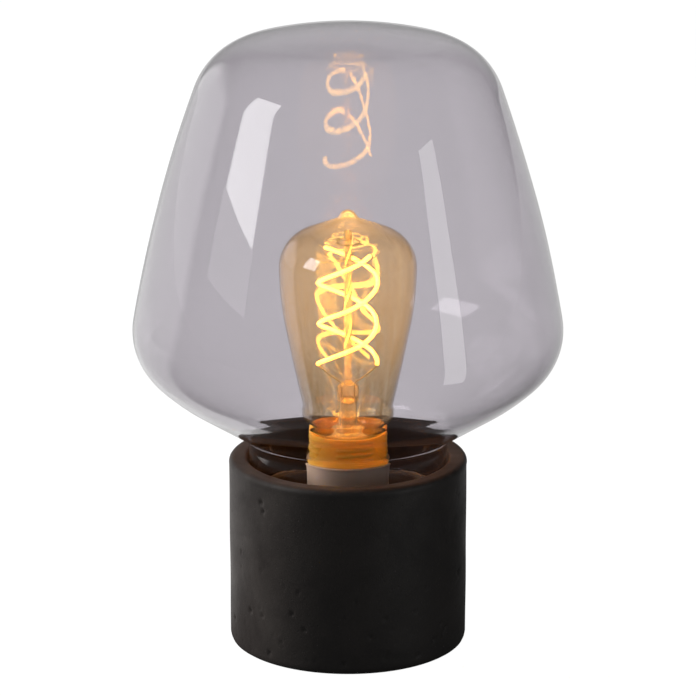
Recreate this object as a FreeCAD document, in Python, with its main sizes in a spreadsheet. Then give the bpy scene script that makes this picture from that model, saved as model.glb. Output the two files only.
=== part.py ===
import FreeCAD, Part
import math
import os
import re

import Sketcher

# Table lamp with a closed glass shade standing in a cast concrete cup.
# Frame: millimetres, +Z up, origin at the centre of the felt pad's underside,
# -Y is the front and the cable inlet is at the back (+Y).

SIZES = {
    # cast cup
    "pad_proud": 0.5, "base_radius": 56.0, "base_height": 90.0, "foot_round": 3.0,
    "rim_round": 2.5, "mouth_round": 1.2, "mouth_radius": 47.5, "ledge_height": 70.0,
    "cavity_radius": 43.0, "floor_top": 26.0, "floor_bottom": 16.0, "pocket_radius": 30.0,
    "pad_radius": 50.5, "pad_thick": 2.5, "pad_gap": 0.5,
    # cable inlet
    "inlet_height": 9.5, "inlet_bore": 3.6, "bushing_radius": 5.9, "bushing_flange": 7.0,
    "bushing_inner_end": 27.0, "flange_seat": 54.5, "flange_end": 57.0, "inlet_gap": 0.1,
    # seat ring and glass shade
    "ring_inner": 43.4, "ring_outer": 47.2, "ring_thick": 1.6,
    "shade_wall": 1.5, "neck_radius": 46.7, "neck_top": 96.9,
    "cone_start_radius": 49.1, "cone_start_height": 101.25,
    "cone_end_radius": 75.4, "cone_end_height": 117.95,
    "belly_start_radius": 91.1, "belly_start_height": 130.35,
    "belly_end_radius": 99.7, "belly_end_height": 157.2,
    "side_end_radius": 70.7, "side_end_height": 265.3,
    "shoulder_end_radius": 45.7, "shoulder_end_height": 288.0,
    # hollow stem that carries the lampholder
    "nipple_radius": 4.9, "nipple_bore": 3.8, "nipple_bottom": 5.0, "nipple_top": 53.0,
    "thread_gap": 0.1, "passage_radius": 5.3, "loose_bore": 5.2,
    "washer_radius": 14.0, "washer_thick": 2.0, "nut_radius": 9.8, "nut_height": 5.0,
    "spacer_radius": 8.0,
    # lampholder
    "holder_radius": 19.3, "cap_bottom": 46.0, "cap_foot_radius": 9.0, "cap_dome_top": 57.0,
    "cap_floor": 54.0, "cap_top": 64.0, "holder_wall": 2.0, "collar_radius": 19.6,
    "collar_bottom": 88.4, "collar_top": 90.0, "groove_radius": 18.3, "groove_top": 91.6,
    "skirt_radius": 18.05, "holder_top": 101.0, "sleeve_bore": 17.4, "ridge_height": 0.6,
    "ridge_pitch": 2.9, "ridge_half_width": 0.75, "ridge_start": 93.2, "ridge_run": 5.8,
    "lock_screw_radius": 1.5, "lock_screw_height": 50.0, "lock_screw_end": 11.0,
    # contacts; contact_gap is the play beside each strip and screw
    "slot_gap": 0.1, "contact_gap": 0.05,
    "block_radius": 17.2, "block_bottom": 60.0, "block_top": 69.0, "well_radius": 12.8,
    "well_floor": 62.0, "strip_thick": 0.5, "strip_width": 5.0, "strip_bottom": 55.2,
    "centre_strip_end": -9.5, "centre_strip_rise": 65.7, "side_strip_place": 15.0,
    "side_strip_top": 76.0, "clamp_length": 5.0, "clamp_width": 7.0, "clamp_height": 4.4,
    "clamp_screw_radius": 1.3, "clamp_head_radius": 2.2, "clamp_head_height": 1.6,
    # Edison thread, shell of the holder and cap of the bulb
    "edison_pitch": 3.629, "shell_outer": 14.4, "shell_bore": 12.45, "shell_depth": 1.05,
    "shell_half_width": 1.65, "shell_bottom": 69.3, "shell_top": 90.0, "shell_groove_start": 66.0,
    "shell_groove_run": 29.0, "cap_core": 12.1, "cap_bore": 11.5, "cap_ridge": 1.0,
    "cap_ridge_half_width": 1.2, "cap_low": 71.4, "cap_high": 90.6, "cap_ridge_turns_start": 73.258,
    "cap_ridge_run": 13.5, "cap_lip_radius": 14.2, "cap_lip_top": 94.5, "cap_shoulder": 0.5, "glass_gap": 0.1,
    "insulator_foot_radius": 6.0, "insulator_foot": 67.2, "insulator_rim": 0.4,
    "button_radius": 4.8, "button_bottom": 66.0, "button_recess": 0.4,
    # bulb glass, from the neck up
    "bulb_wall": 0.9, "bulb_neck_radius": 13.5, "bulb_neck_low": 91.2, "bulb_neck_top": 95.0,
    "bulb_throat_radius": 16.9, "bulb_throat_height": 101.0,
    "bulb_cone_radius": 21.1, "bulb_cone_height": 113.2, "bulb_side_radius": 28.9,
    "bulb_side_height": 151.6, "bulb_wide_radius": 32.0, "bulb_wide_height": 181.0,
    "bulb_shoulder_radius": 19.94, "bulb_shoulder_height": 198.55,
    "bulb_flat_radius": 6.4, "bulb_flat_height": 203.75,
    "bulb_tip_radius": 3.8, "bulb_tip_side": 206.1,
    # inside the bulb
    "stem_flare_radius": 10.5, "stem_flare_thick": 1.0, "stem_low": 95.0,
    "stem_tube_radius": 4.2, "stem_tube_low": 105.0,
    "pinch_low": 117.0, "pinch_height": 7.0, "pinch_width": 10.0, "pinch_thick": 4.2,
    "rod_radius": 1.7, "rod_top": 195.0, "lead_spacing": 3.0, "lead_foot": 4.0, "lead_rise": 1.0,
    "spiral_radius": 13.6, "spiral_pitch": 39.0,
    "spiral_low": 134.6, "spiral_run": 54.0, "strand_radius": 0.9, "wire_radius": 0.3,
    "hook_height": 184.0, "hook_rise": 1.5, "ring_height": 193.0, "ring_radius": 5.6, "stay_drop": 1.0,
    "board_width": 15.0, "board_thick": 1.0, "board_low": 73.0, "board_height": 14.0,
}

PARTS_FOLDER = "parts"
FULL_TURN = 360.0
# Wires in the star at the top of the spiral, and the turn of the first one from +X
SPOKES = 6
FIRST_SPOKE = 20.0
# Sketch point number of an arc's centre
ARC_CENTRE = 3
# Two sketch points closer than this are one
SAME_POINT = 1e-4
# The foot of a thread's section runs this far into its core, so that the two join
THREAD_ROOT = 0.3


def make_sheet(doc):
    """Spreadsheet with one plain number per driving dimension."""
    sheet = doc.addObject("Spreadsheet::Sheet", "Sizes")
    for row, (alias, value) in enumerate(SIZES.items(), start=1):
        sheet.set("A%d" % row, alias)
        sheet.set("B%d" % row, repr(value))
        sheet.setAlias("B%d" % row, alias)
    doc.recompute()
    return sheet


def bound(text):
    """Expression text with every dimension's word pointed at its cell."""
    return re.sub(r"[a-z][a-z_]+", lambda word: "Sizes." + word.group()
                  if word.group() in SIZES else word.group(), text)


def value_of(doc, text):
    """Number that an expression in the sheet's words gives now."""
    result = doc.getObject("Sizes").evalExpression(bound(text))
    return float(getattr(result, "Value", result))


def origin_plane(body, role):
    """Origin plane of a body, by its role."""
    return next(item for item in body.Origin.OriginFeatures if item.Role == role)


def new_body(doc, label):
    """Empty body whose label is the node's name."""
    body = doc.addObject("PartDesign::Body", label)
    body.Label = label
    return body


def new_sketch(body, name, role="XZ_Plane"):
    """Sketch lying on one of the body's own origin planes."""
    sketch = body.newObject("Sketcher::SketchObject", name)
    sketch.AttachmentSupport = [(origin_plane(body, role), "")]
    sketch.MapMode = "FlatFace"
    return sketch


def tangent_arc(start, heading, end):
    """Arc from start to end that leaves start along heading, and its heading at the end."""
    chord = end - start
    bend = math.atan2(heading.x * chord.y - heading.y * chord.x, heading.dot(chord))
    lift = chord.Length / 2 * math.tan(bend / 2)
    side = FreeCAD.Vector(chord.y, -chord.x, 0).normalize()
    middle = (start + end) * 0.5 + side * lift
    angle = math.atan2(chord.y, chord.x) + bend
    return Part.Arc(start, middle, end), FreeCAD.Vector(math.cos(angle), math.sin(angle), 0)


def crown_arc(start, heading):
    """Arc that leaves start along heading and ends level on the axis, its centre on the axis."""
    inward = FreeCAD.Vector(-heading.y, heading.x, 0)
    radius = -start.x / inward.x
    centre = start + inward * radius
    top = FreeCAD.Vector(0, centre.y + radius, 0)
    middle = centre + (start + top - centre * 2).normalize() * radius
    return Part.Arc(start, middle, top), top


def end_numbers(sketch, index, start):
    """Sketch point numbers of an edge's first and last end, as it is walked."""
    first = sketch.getPoint(index, 1)
    return (1, 2) if (first - start).Length < SAME_POINT else (2, 1)


def place_point(sketch, index, number, radius, height):
    """Pin one point of the outline to its radius and height."""
    for kind, text, axis in (("DistanceX", radius, -2), ("DistanceY", height, -1)):
        if text == "0":
            sketch.addConstraint(Sketcher.Constraint("PointOnObject", index, number, axis))
            continue
        value = value_of(sketch.Document, text)
        row = sketch.addConstraint(Sketcher.Constraint(kind, index, number, value))
        sketch.setExpression("Constraints[%d]" % row, bound(text))


def walked(doc, outline):
    """Runs of an outline as (curve, start, end, direction in which it leaves its start)."""
    here = FreeCAD.Vector(value_of(doc, outline[0][1]), value_of(doc, outline[0][2]), 0)
    heading = FreeCAD.Vector(1, 0, 0)
    runs = []
    for how, radius, height in outline[1:] + outline[:1]:
        start = here
        leaving = heading
        if how == "crown":
            curve, here = crown_arc(start, heading)
        else:
            here = FreeCAD.Vector(value_of(doc, radius), value_of(doc, height), 0)
        if how == "smooth":
            curve, heading = tangent_arc(start, heading, here)
        if how == "line":
            curve = Part.LineSegment(start, here)
            heading = (here - start).normalize()
            leaving = heading
        runs.append((curve, start, here, leaving))
    return runs


def draw_outline(sketch, outline):
    """Closed outline of (how, radius, height) corners, how each one is reached.

    "line" is a straight run. "smooth" is an arc that leaves the corner before it in the
    direction in which the run before it arrived. "crown" is such an arc that ends level
    on the axis, so its height follows from the rest.
    """
    ends = []
    for curve, start, end, leaving in walked(sketch.Document, outline):
        index = sketch.addGeometry(curve)
        ends.append((index, *end_numbers(sketch, index, start)))
    for step, (how, radius, height) in enumerate(outline[1:] + outline[:1]):
        index, start, last = ends[step]
        before, _, before_last = ends[step - 1]
        kind = "Coincident" if how == "line" else "Tangent"
        sketch.addConstraint(Sketcher.Constraint(kind, before, before_last, index, start))
        if how == "crown":
            sketch.addConstraint(Sketcher.Constraint("PointOnObject", index, ARC_CENTRE, -2))
            sketch.addConstraint(Sketcher.Constraint("PointOnObject", index, last, -2))
        else:
            place_point(sketch, index, last, radius, height)


def inset(doc, outline, wall):
    """The same outline, moved in by a wall: each corner along the normal where it is left."""
    runs = walked(doc, outline)
    inner = [outline[0]]
    for step, (how, radius, height) in enumerate(outline[1:-1], start=1):
        leaving = runs[step][3]
        inner.append((how, "%s - %s * %.6f" % (radius, wall, leaving.y),
                      "%s + %s * %.6f" % (height, wall, leaving.x)))
    inner.append(outline[-1])
    return inner


def turned(doc, label, outline):
    """Body turned about Z from one closed half section."""
    body = new_body(doc, label)
    sketch = new_sketch(body, label + "_section")
    draw_outline(sketch, outline)
    turn = body.newObject("PartDesign::Revolution", label + "_turn")
    turn.Profile = sketch
    turn.ReferenceAxis = (sketch, ["V_Axis"])
    turn.Angle = FULL_TURN
    doc.recompute()
    return body


def hollowed(body, outline, wall):
    """Hollow in a turned body, an even wall inside the outline that it was turned from."""
    doc = body.Document
    full = body.Shape.Volume
    sketch = new_sketch(body, body.Label + "_hollow_section")
    draw_outline(sketch, inset(doc, outline, wall))
    hollow = body.newObject("PartDesign::Groove", body.Label + "_hollow")
    hollow.Profile = sketch
    hollow.ReferenceAxis = (sketch, ["V_Axis"])
    hollow.Angle = FULL_TURN
    doc.recompute()
    if body.Shape.Volume > full / 2:
        raise RuntimeError(body.Label + " was not hollowed")
    return body


def thread(body, kind, root, depth, half_width, start, run, pitch):
    """Right-handed rounded thread added to, or cut from, a body about Z."""
    doc = body.Document
    name = body.Label + "_thread"
    sketch = new_sketch(body, name + "_section")
    outward = "%s + %s" % (root, depth)
    inward = "%s - %s" % (root, THREAD_ROOT)
    low = "%s - %s" % (start, half_width)
    high = "%s + %s" % (start, half_width)
    lower_flat = "%s - %s / 3" % (start, half_width)
    upper_flat = "%s + %s / 3" % (start, half_width)
    draw_outline(sketch, [("line", inward, low), ("line", root, low), ("line", outward, lower_flat),
                          ("line", outward, upper_flat), ("line", root, high), ("line", inward, high)])
    helix = body.newObject("PartDesign::" + kind, name)
    helix.Profile = sketch
    helix.ReferenceAxis = (sketch, ["V_Axis"])
    helix.Mode = 0
    helix.setExpression("Pitch", bound(pitch))
    helix.setExpression("Height", bound(run))
    doc.recompute()
    return body


def ring(inner, outer, low, high):
    """Outline of a plain ring."""
    return [("line", inner, low), ("line", outer, low), ("line", outer, high), ("line", inner, high)]


def cylinder(doc, name, radius, length, place, axis=(0, 0, 1)):
    """Cylinder from a place, given in the sheet's words, along an axis."""
    solid = doc.addObject("Part::Cylinder", name)
    solid.setExpression("Radius", bound(radius))
    solid.setExpression("Height", bound(length))
    put(solid, place, FreeCAD.Rotation(FreeCAD.Vector(0, 0, 1), FreeCAD.Vector(*axis)))
    return solid


def block(doc, name, size, corner):
    """Box with its low corner at a place given in the sheet's words."""
    solid = doc.addObject("Part::Box", name)
    for side, text in zip(("Length", "Width", "Height"), size):
        solid.setExpression(side, bound(text))
    put(solid, corner)
    return solid


def put(solid, place, turn=FreeCAD.Rotation()):
    """Place of a solid, bound to the sheet along each axis."""
    solid.Placement = FreeCAD.Placement(FreeCAD.Vector(), turn)
    for axis, text in zip("xyz", place):
        solid.setExpression(".Placement.Base." + axis, bound(text))


def combined(doc, kind, label, first, others):
    """Boolean of a base solid with a list of others."""
    joined = others[0]
    if len(others) > 1:
        joined = doc.addObject("Part::Compound", label + "_tools")
        joined.Links = others
    result = doc.addObject("Part::" + kind, label)
    result.Label = label
    result.Base = first
    result.Tool = joined
    return result


def grouped(doc, label, solids):
    """Node that holds several separate like solids."""
    group = doc.addObject("Part::Compound", label)
    group.Label = label
    group.Links = solids
    return group


def fused(doc, label, solids):
    """One solid from several that overlap."""
    joined = doc.addObject("Part::MultiFuse", label)
    joined.Label = label
    joined.Shapes = solids
    return joined


def concrete_base(doc):
    """Cast cup: pad recess and wiring pocket below, cavity with a ledge above, rear cable hole."""
    low = "pad_proud"
    cup = turned(doc, "cup_blank", [
        ("line", "passage_radius", "floor_bottom"),
        ("line", "pocket_radius", "floor_bottom"),
        ("line", "pocket_radius", "pad_thick"),
        ("line", "pad_radius + pad_gap", "pad_thick"),
        ("line", "pad_radius + pad_gap", low),
        ("line", "base_radius - foot_round", low),
        ("smooth", "base_radius", "pad_proud + foot_round"),
        ("line", "base_radius", "base_height - rim_round"),
        ("smooth", "base_radius - rim_round", "base_height"),
        ("line", "mouth_radius + mouth_round", "base_height"),
        ("smooth", "mouth_radius", "base_height - mouth_round"),
        ("line", "mouth_radius", "ledge_height"),
        ("line", "cavity_radius", "ledge_height"),
        ("line", "cavity_radius", "floor_top"),
        ("line", "passage_radius", "floor_top")])
    hole = cylinder(doc, "inlet_hole", "bushing_radius + inlet_gap", "base_radius",
                    ("0", "bushing_inner_end", "inlet_height"), (0, 1, 0))
    seat = cylinder(doc, "inlet_seat", "bushing_flange + inlet_gap", "base_radius",
                    ("0", "flange_seat", "inlet_height"), (0, 1, 0))
    return combined(doc, "Cut", "concrete_base", cup, [hole, seat])


def base_pad(doc):
    """Felt disc in the recess under the cup."""
    disc = doc.addObject("Part::Cylinder", "base_pad")
    disc.Label = "base_pad"
    disc.setExpression("Radius", bound("pad_radius"))
    disc.setExpression("Height", bound("pad_thick"))
    return disc


def cable_bushing(doc):
    """Rubber bushing that lines the rear cable hole, with its flange outside."""
    barrel = cylinder(doc, "bushing_barrel", "bushing_radius", "flange_end - pocket_radius",
                      ("0", "pocket_radius", "inlet_height"), (0, 1, 0))
    flange = cylinder(doc, "bushing_flange_disc", "bushing_flange", "flange_end - flange_seat",
                      ("0", "flange_seat", "inlet_height"), (0, 1, 0))
    bore = cylinder(doc, "bushing_bore", "inlet_bore", "base_radius",
                    ("0", "bushing_inner_end", "inlet_height"), (0, 1, 0))
    body = fused(doc, "bushing_blank", [barrel, flange])
    return combined(doc, "Cut", "cable_bushing", body, [bore])


def shade_seat_ring(doc):
    """Flat silicone ring on the ledge, under the glass."""
    return turned(doc, "shade_seat_ring",
                  ring("ring_inner", "ring_outer", "ledge_height", "ledge_height + ring_thick"))


def glass_shade(doc):
    """Blown shade: straight neck, cone, belly, leaning side, shoulder and closed dome."""
    foot = "ledge_height + ring_thick"
    outline = [
        ("line", "0", foot),
        ("line", "neck_radius", foot),
        ("line", "neck_radius", "neck_top"),
        ("smooth", "cone_start_radius", "cone_start_height"),
        ("line", "cone_end_radius", "cone_end_height"),
        ("smooth", "belly_start_radius", "belly_start_height"),
        ("smooth", "belly_end_radius", "belly_end_height"),
        ("smooth", "side_end_radius", "side_end_height"),
        ("smooth", "shoulder_end_radius", "shoulder_end_height"),
        ("crown", "0", "")]
    return hollowed(turned(doc, "glass_shade", outline), outline, "shade_wall")


def nipple(doc):
    """Hollow threaded tube from the pocket up into the lampholder."""
    return turned(doc, "nipple", ring("nipple_bore", "nipple_radius", "nipple_bottom", "nipple_top"))


def washer(doc, label, low):
    """Flat washer round the nipple."""
    return turned(doc, label, ring("loose_bore", "washer_radius",
                                   low, low + " + washer_thick"))


def nut(doc, label, low):
    """Hexagon nut round the nipple."""
    prism = doc.addObject("Part::Prism", label + "_blank")
    prism.Polygon = 6
    prism.setExpression("Circumradius", bound("nut_radius"))
    prism.setExpression("Height", bound("nut_height"))
    put(prism, ("0", "0", low))
    bore = cylinder(doc, label + "_bore", "nipple_radius + thread_gap / 2", "nut_height * 3",
                    ("0", "0", low + " - nut_height"))
    return combined(doc, "Cut", label, prism, [bore])


def spacer_tube(doc):
    """Tube over the nipple between the upper nut and the lampholder."""
    return turned(doc, "spacer_tube",
                  ring("loose_bore", "spacer_radius",
                       "floor_top + washer_thick + nut_height", "cap_bottom"))


def holder_cap(doc):
    """Domed lower cap of the lampholder, with a cross hole for its lock screw."""
    bore = "nipple_radius + thread_gap"
    cup = turned(doc, "holder_cap_blank", [
        ("line", bore, "cap_bottom"),
        ("line", "cap_foot_radius", "cap_bottom"),
        ("smooth", "holder_radius", "cap_dome_top"),
        ("line", "holder_radius", "cap_top"),
        ("line", "holder_radius - holder_wall", "cap_top"),
        ("line", "holder_radius - holder_wall", "cap_floor"),
        ("line", bore, "cap_floor")])
    hole = cylinder(doc, "lock_screw_hole", "lock_screw_radius + thread_gap", "holder_radius",
                    ("0", "0", "lock_screw_height"), (0, 1, 0))
    return combined(doc, "Cut", "holder_cap", cup, [hole])


def cap_lock_screw(doc):
    """Grub screw that stops the cap turning on the nipple."""
    screw = cylinder(doc, "cap_lock_screw", "lock_screw_radius",
                     "lock_screw_end - nipple_radius - thread_gap",
                     ("0", "nipple_radius + thread_gap", "lock_screw_height"), (0, 1, 0))
    screw.Label = "cap_lock_screw"
    return screw


def holder_sleeve(doc):
    """Sleeve of the lampholder: plain barrel, collar, groove and skirt with a ring thread."""
    sleeve = turned(doc, "holder_sleeve", [
        ("line", "sleeve_bore", "cap_top"),
        ("line", "holder_radius", "cap_top"),
        ("line", "holder_radius", "collar_bottom"),
        ("line", "collar_radius", "collar_bottom"),
        ("line", "collar_radius", "collar_top"),
        ("line", "groove_radius", "collar_top"),
        ("line", "groove_radius", "groove_top"),
        ("line", "skirt_radius", "groove_top"),
        ("line", "skirt_radius", "holder_top"),
        ("line", "sleeve_bore", "holder_top")])
    return thread(sleeve, "AdditiveHelix", "skirt_radius", "ridge_height", "ridge_half_width",
                  "ridge_start", "ridge_run", "ridge_pitch")


def contact_block(doc):
    """Insulating insert with a well for the contacts and slots for their strips."""
    body = turned(doc, "block_blank", [
        ("line", "0", "block_bottom"),
        ("line", "block_radius", "block_bottom"),
        ("line", "block_radius", "block_top"),
        ("line", "well_radius", "block_top"),
        ("line", "well_radius", "well_floor"),
        ("line", "0", "well_floor")])
    slots = [block(doc, name, ("strip_thick + slot_gap * 2", "strip_width + slot_gap * 2", "block_top"),
                   (place + " - slot_gap", "0 - strip_width / 2 - slot_gap", "strip_bottom"))
             for name, place in (("centre_slot", "centre_strip_end"), ("side_slot", "side_strip_place"))]
    return combined(doc, "Cut", "contact_block", body, slots)


def centre_contact(doc):
    """Bent brass tongue: leg through the block, foot on the well's floor, raised tip."""
    body = new_body(doc, "centre_contact")
    sketch = new_sketch(body, "centre_contact_section")
    draw_outline(sketch, [
        ("line", "centre_strip_end", "strip_bottom"),
        ("line", "centre_strip_end + strip_thick", "strip_bottom"),
        ("line", "centre_strip_end + strip_thick", "well_floor + contact_gap"),
        ("line", "0 - strip_width / 2", "well_floor + contact_gap"),
        ("line", "strip_width / 4", "centre_strip_rise - strip_thick"),
        ("line", "strip_width / 2", "centre_strip_rise - strip_thick"),
        ("line", "strip_width / 2", "centre_strip_rise"),
        ("line", "strip_width / 5", "centre_strip_rise"),
        ("line", "0 - strip_width / 2 - strip_thick / 5", "well_floor + contact_gap + strip_thick"),
        ("line", "centre_strip_end", "well_floor + contact_gap + strip_thick")])
    pad = body.newObject("PartDesign::Pad", "centre_contact_pad")
    pad.Profile = sketch
    pad.setExpression("Length", bound("strip_width"))
    pad.Midplane = True
    return body


def side_contact(doc):
    """Straight brass strip beside the threaded shell."""
    strip = block(doc, "side_contact", ("strip_thick", "strip_width", "side_strip_top - strip_bottom"),
                  ("side_strip_place", "0 - strip_width / 2", "strip_bottom"))
    strip.Label = "side_contact"
    return strip


# Low x face of each terminal clamp: one inside each strip's leg
CLAMP_PLACES = ("centre_strip_end + strip_thick + contact_gap",
                "side_strip_place - clamp_length - contact_gap")


def terminal_clamps(doc):
    """Two brass clamp blocks, each drilled for its screw."""
    clamps = []
    for number, place in enumerate(CLAMP_PLACES, start=1):
        body = block(doc, "clamp_blank_%d" % number, ("clamp_length", "clamp_width", "clamp_height"),
                     (place, "0 - clamp_width / 2", "strip_bottom"))
        hole = cylinder(doc, "clamp_hole_%d" % number, "clamp_screw_radius + contact_gap", "clamp_width * 2",
                        (place + " + clamp_length / 2", "0 - clamp_width",
                         "strip_bottom + clamp_height / 2"), (0, 1, 0))
        clamps.append(combined(doc, "Cut", "clamp_%d" % number, body, [hole]))
    return grouped(doc, "terminal_clamps", clamps)


def terminal_screws(doc):
    """Two terminal screws with round heads at the front."""
    screws = []
    for number, place in enumerate(CLAMP_PLACES, start=1):
        middle = place + " + clamp_length / 2"
        height = "strip_bottom + clamp_height / 2"
        shank = cylinder(doc, "shank_%d" % number, "clamp_screw_radius", "clamp_width",
                         (middle, "0 - clamp_width / 2", height), (0, 1, 0))
        head = cylinder(doc, "head_%d" % number, "clamp_head_radius", "clamp_head_height",
                        (middle, "0 - clamp_width / 2 - clamp_head_height", height), (0, 1, 0))
        screws.append(fused(doc, "screw_%d" % number, [shank, head]))
    return grouped(doc, "terminal_screws", screws)


def screw_shell(doc):
    """Threaded shell of the lampholder, its groove running out at both ends."""
    shell = turned(doc, "screw_shell", ring("shell_bore", "shell_outer", "shell_bottom", "shell_top"))
    return thread(shell, "SubtractiveHelix", "shell_bore", "shell_depth", "shell_half_width",
                  "shell_groove_start", "shell_groove_run", "edison_pitch")


def bulb_cap(doc):
    """Threaded shell of the bulb with a flared lip round the glass."""
    cap = turned(doc, "bulb_cap", [
        ("line", "cap_bore", "cap_low"),
        ("line", "cap_core", "cap_low"),
        ("line", "cap_core", "cap_high"),
        ("line", "cap_lip_radius", "cap_high"),
        ("line", "cap_lip_radius", "cap_lip_top"),
        ("line", "bulb_neck_radius + glass_gap", "cap_lip_top"),
        ("line", "bulb_neck_radius + glass_gap", "cap_high + cap_shoulder"),
        ("line", "cap_bore", "cap_high + cap_shoulder")])
    return thread(cap, "AdditiveHelix", "cap_core", "cap_ridge", "cap_ridge_half_width",
                  "cap_ridge_turns_start", "cap_ridge_run", "edison_pitch")


def bulb_insulator(doc):
    """Black glass cone that closes the bottom of the bulb's cap."""
    return turned(doc, "bulb_insulator", [
        ("line", "0", "insulator_foot + button_recess"),
        ("line", "button_radius + glass_gap", "insulator_foot + button_recess"),
        ("line", "button_radius + glass_gap", "insulator_foot"),
        ("line", "insulator_foot_radius", "insulator_foot"),
        ("line", "cap_core", "cap_low - insulator_rim"),
        ("line", "cap_core", "cap_low"),
        ("line", "0", "cap_low")])


def bulb_contact(doc):
    """Round centre contact of the bulb."""
    return turned(doc, "bulb_contact", [
        ("line", "0", "button_bottom"),
        ("line", "button_radius / 2", "button_bottom"),
        ("smooth", "button_radius", "insulator_foot"),
        ("line", "button_radius", "insulator_foot + button_recess"),
        ("line", "0", "insulator_foot + button_recess")])


def bulb_glass(doc):
    """Pear-shaped envelope: neck, long taper, widest ring high up, flat cone and nipple."""
    outline = [
        ("line", "0", "bulb_neck_low"),
        ("line", "bulb_neck_radius", "bulb_neck_low"),
        ("line", "bulb_neck_radius", "bulb_neck_top"),
        ("smooth", "bulb_throat_radius", "bulb_throat_height"),
        ("smooth", "bulb_cone_radius", "bulb_cone_height"),
        ("line", "bulb_side_radius", "bulb_side_height"),
        ("smooth", "bulb_wide_radius", "bulb_wide_height"),
        ("smooth", "bulb_shoulder_radius", "bulb_shoulder_height"),
        ("line", "bulb_flat_radius", "bulb_flat_height"),
        ("smooth", "bulb_tip_radius", "bulb_tip_side"),
        ("crown", "0", "")]
    return hollowed(turned(doc, "bulb_glass", outline), outline, "bulb_wall")


def bulb_stem(doc):
    """Glass stem: flared foot, tube, flat pinch and the rod that carries the hooks."""
    tube = turned(doc, "stem_tube", [
        ("line", "0", "stem_low"),
        ("line", "stem_flare_radius", "stem_low"),
        ("line", "stem_flare_radius", "stem_low + stem_flare_thick"),
        ("line", "stem_tube_radius", "stem_tube_low"),
        ("line", "stem_tube_radius", "pinch_low + stem_flare_thick"),
        ("line", "rod_radius", "pinch_low + pinch_height"),
        ("line", "rod_radius", "rod_top"),
        ("line", "0", "rod_top")])
    pinch = block(doc, "stem_pinch", ("pinch_width", "pinch_thick", "pinch_height"),
                  ("0 - pinch_width / 2", "0 - pinch_thick / 2", "pinch_low"))
    return fused(doc, "bulb_stem", [tube, pinch])


def strand(doc, label, turn):
    """One round strand wound in a spiral about Z, turned by an angle."""
    body = new_body(doc, label)
    sketch = new_sketch(body, label + "_section")
    centre = FreeCAD.Vector(value_of(doc, "spiral_radius"), value_of(doc, "spiral_low"), 0)
    radius = value_of(doc, "strand_radius")
    index = sketch.addGeometry(Part.Circle(centre, FreeCAD.Vector(0, 0, 1), radius))
    row = sketch.addConstraint(Sketcher.Constraint("Radius", index, radius))
    sketch.setExpression("Constraints[%d]" % row, bound("strand_radius"))
    place_point(sketch, index, ARC_CENTRE, "spiral_radius", "spiral_low")
    helix = body.newObject("PartDesign::AdditiveHelix", label + "_winding")
    helix.Profile = sketch
    helix.ReferenceAxis = (sketch, ["V_Axis"])
    helix.Mode = 0
    helix.setExpression("Pitch", bound("spiral_pitch"))
    helix.setExpression("Height", bound("spiral_run"))
    body.Placement = FreeCAD.Placement(
        FreeCAD.Vector(), FreeCAD.Rotation(FreeCAD.Vector(0, 0, 1), turn))
    doc.recompute()
    return body


def filament(doc):
    """Two strands of a soft light-emitting spiral, half a turn apart."""
    return grouped(doc, "filament", [strand(doc, "first_strand", 0.0),
                                     strand(doc, "second_strand", FULL_TURN / 2)])


def wire(doc, name, start, end):
    """Straight run of wire between two points given as (x, y, z) in the sheet's words."""
    first = FreeCAD.Vector(*[value_of(doc, text) for text in start])
    last = FreeCAD.Vector(*[value_of(doc, text) for text in end])
    run = doc.addObject("Part::Cylinder", name)
    run.setExpression("Radius", bound("wire_radius"))
    length = " + ".join("((%s) - (%s)) ^ 2" % pair for pair in zip(end, start))
    run.setExpression("Height", bound("sqrt(%s)" % length))
    put(run, start, FreeCAD.Rotation(FreeCAD.Vector(0, 0, 1), last - first))
    return run


def lead_wires(doc):
    """Two leads from the cap through the pinch to the lower ends of the spiral."""
    leads = []
    for name, side in (("left", "0 - "), ("right", "")):
        foot = (side + "lead_spacing", "0", "stem_low + lead_foot")
        knee = (side + "lead_spacing", "0", "pinch_low + pinch_height + lead_rise")
        tip = (side + "spiral_radius", "0", "spiral_low - strand_radius")
        leads.append(fused(doc, name + "_lead", [wire(doc, name + "_lead_low", foot, knee),
                                                 wire(doc, name + "_lead_high", knee, tip)]))
    return grouped(doc, "lead_wires", leads)


def filament_support(doc):
    """Star of wires and a small ring on the rod's top that hold the spiral."""
    spokes = []
    for number in range(SPOKES):
        angle = math.radians(FULL_TURN * number / SPOKES + FIRST_SPOKE)
        start = ("rod_radius / 2 * %.6f" % math.cos(angle),
                 "rod_radius / 2 * %.6f" % math.sin(angle), "hook_height")
        end = ("(spiral_radius - strand_radius) * %.6f" % math.cos(angle),
               "(spiral_radius - strand_radius) * %.6f" % math.sin(angle), "hook_height + hook_rise")
        spokes.append(wire(doc, "spoke_%d" % (number + 1), start, end))
    for number, side in enumerate(("0 - ", ""), start=1):
        spokes.append(wire(doc, "ring_stay_%d" % number, ("0", "0", "ring_height - stay_drop"),
                           (side + "ring_radius", "0", "ring_height")))
    loop = doc.addObject("Part::Torus", "top_ring")
    loop.setExpression("Radius1", bound("ring_radius"))
    loop.setExpression("Radius2", bound("wire_radius"))
    put(loop, ("0", "0", "ring_height"))
    return fused(doc, "filament_support", spokes + [loop])


def driver_board(doc):
    """Small circuit board standing in the bulb's cap."""
    board = block(doc, "driver_board", ("board_width", "board_thick", "board_height"),
                  ("0 - board_width / 2", "0 - board_thick / 2", "board_low"))
    board.Label = "driver_board"
    return board


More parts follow.
